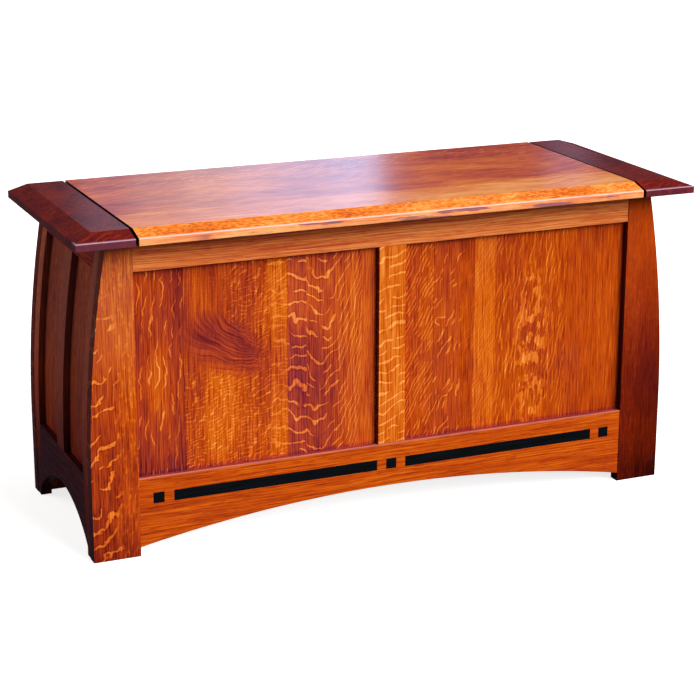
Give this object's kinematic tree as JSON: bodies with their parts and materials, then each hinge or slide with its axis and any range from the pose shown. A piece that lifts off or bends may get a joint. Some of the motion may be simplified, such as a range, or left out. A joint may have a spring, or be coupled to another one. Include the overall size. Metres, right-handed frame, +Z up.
{
  "type": "blanket chest",
  "caption": "Blanket chest with a hinged lid between fixed dark end caps, legs with a curved outer edge, framed panels, arched bottom rails and a dark inlay line.",
  "frame": {"origin": "on the floor, under the middle of the whole object's box", "axes": "+X to the chest's right along its length, +Y to its back, +Z up; the front faces -Y"},
  "size_m": [1.22, 0.4754, 0.6125],
  "materials": {
    "lid_oak": "quarter-sawn white oak, amber-brown stain, satin lacquer",
    "cap_oak": "white oak stained dark red-brown, satin lacquer",
    "frame_oak": "quarter-sawn white oak, amber-brown stain, satin lacquer",
    "panel_oak": "quarter-sawn white oak, amber-brown stain, satin lacquer",
    "end_oak": "quarter-sawn white oak, brown stain, satin lacquer",
    "inlay_ebony": "near-black wood, satin lacquer",
    "cedar": "aromatic cedar, unfinished",
    "inner_oak": "plain oak, thin clear lacquer",
    "hinge_brass": "brushed brass, slightly dulled",
    "screw_steel": "zinc-plated steel"
  },
  "bodies": {
    "case": {"back_bottom_cleat": "inner_oak", "back_bottom_rail": "frame_oak", "back_centre_stile": "frame_oak", "back_left_panel": "panel_oak", "back_right_panel": "panel_oak", "back_top_rail": "frame_oak", "bottom_panel": "cedar", "cap_screws": "screw_steel", "case_hinge_screws": "hinge_brass", "centre_hinge_case_leaf": "hinge_brass", "centre_hinge_pin": "hinge_brass", "cleat_screws": "screw_steel", "front_bottom_cleat": "inner_oak", "front_bottom_rail": "frame_oak", "front_centre_stile": "frame_oak", "front_left_leg": "frame_oak", "front_left_panel": "panel_oak", "front_right_leg": "frame_oak", "front_right_panel": "panel_oak", "front_top_rail": "frame_oak", "inlay_centre_square": "inlay_ebony", "inlay_left_bar": "inlay_ebony", "inlay_left_square": "inlay_ebony", "inlay_right_bar": "inlay_ebony", "inlay_right_square": "inlay_ebony", "left_bottom_cleat": "inner_oak", "left_bottom_rail": "end_oak", "left_cap_ledger": "inner_oak", "left_centre_stile": "end_oak", "left_end_cap": "cap_oak", "left_front_panel": "end_oak", "left_front_stile": "end_oak", "left_hinge_case_leaf": "hinge_brass", "left_hinge_pin": "hinge_brass", "left_rear_panel": "end_oak", "left_rear_stile": "end_oak", "left_top_rail": "end_oak", "rear_left_leg": "frame_oak", "rear_right_leg": "frame_oak", "right_bottom_cleat": "inner_oak", "right_bottom_rail": "end_oak", "right_cap_ledger": "inner_oak", "right_centre_stile": "end_oak", "right_end_cap": "cap_oak", "right_front_panel": "end_oak", "right_front_stile": "end_oak", "right_hinge_case_leaf": "hinge_brass", "right_hinge_pin": "hinge_brass", "right_rear_panel": "end_oak", "right_rear_stile": "end_oak", "right_top_rail": "end_oak"},
    "lid": {"lid": "lid_oak", "left_lid_batten": "inner_oak", "right_lid_batten": "inner_oak", "batten_screws": "screw_steel", "left_hinge_lid_leaf": "hinge_brass", "centre_hinge_lid_leaf": "hinge_brass", "right_hinge_lid_leaf": "hinge_brass", "lid_hinge_screws": "hinge_brass"}
  },
  "joints": [
    {"name": "lid_hinge", "type": "hinge", "parent": "case", "child": "lid", "pos_m": [0, 0.2337, 0.58825], "axis": [-1, 0, 0], "range_deg": [0, 95]}
  ]
}
